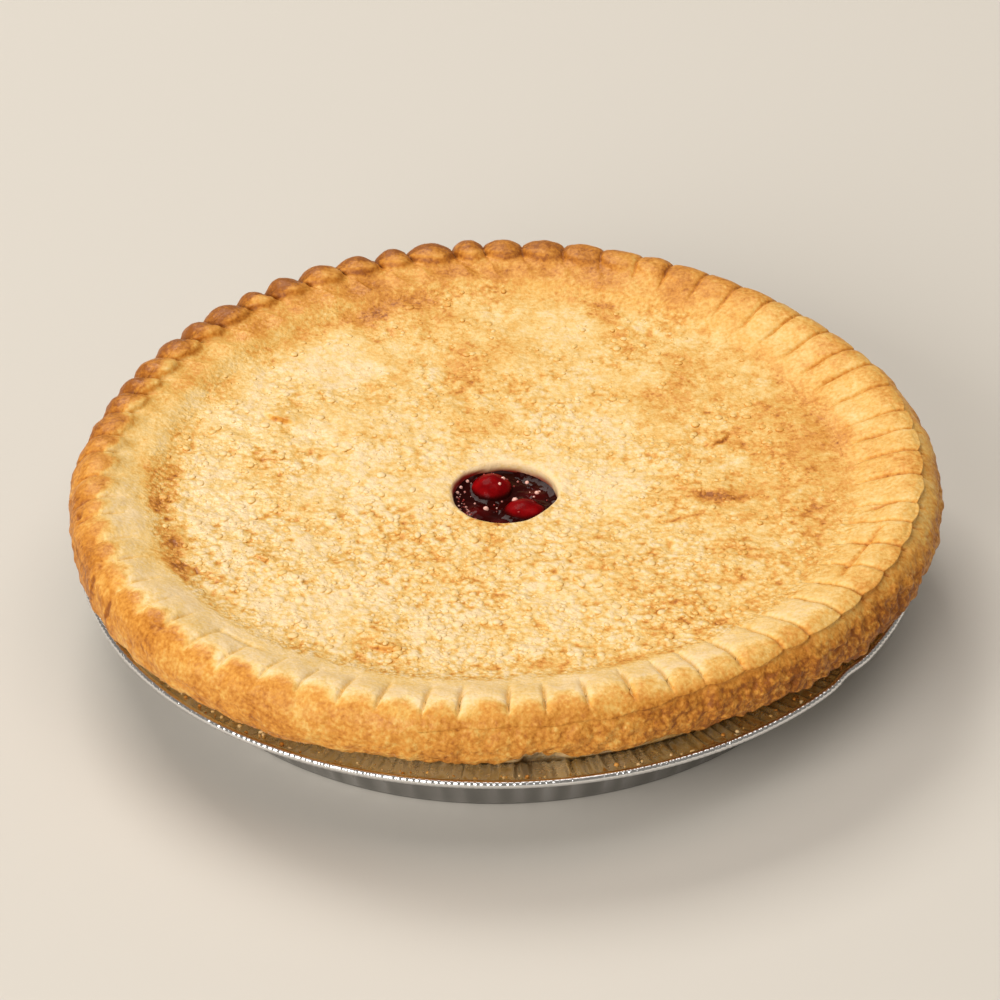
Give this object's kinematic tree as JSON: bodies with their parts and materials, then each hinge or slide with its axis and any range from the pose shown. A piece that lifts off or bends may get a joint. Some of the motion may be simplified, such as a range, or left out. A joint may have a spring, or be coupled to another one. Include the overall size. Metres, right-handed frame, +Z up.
{
  "type": "cherry pie",
  "caption": "Round whole cherry pie with a crimped rim and a round vent, in its foil pan.",
  "frame": {"origin": "centre of the bounding box at the level of the pan's flat base", "axes": "+Z up, out of the pan; +Y away from the viewer; +X to the viewer's right"},
  "size_m": [0.2567, 0.2537, 0.0504],
  "materials": {
    "baked_crust": "baked shortcrust, matt to slightly glazed, golden brown",
    "cherry_gel": "thick clear dark red fruit gel, wet gloss",
    "cherry_skin": "cooked cherry, wet gloss",
    "aluminium_foil": "pressed foil, bright, pleated"
  },
  "bodies": {
    "root": {"foil_pan": "aluminium_foil", "pie_crust": "baked_crust", "cherry_filling": "cherry_gel", "cherry_1": "cherry_skin", "cherry_2": "cherry_skin"}
  },
  "joints": []
}
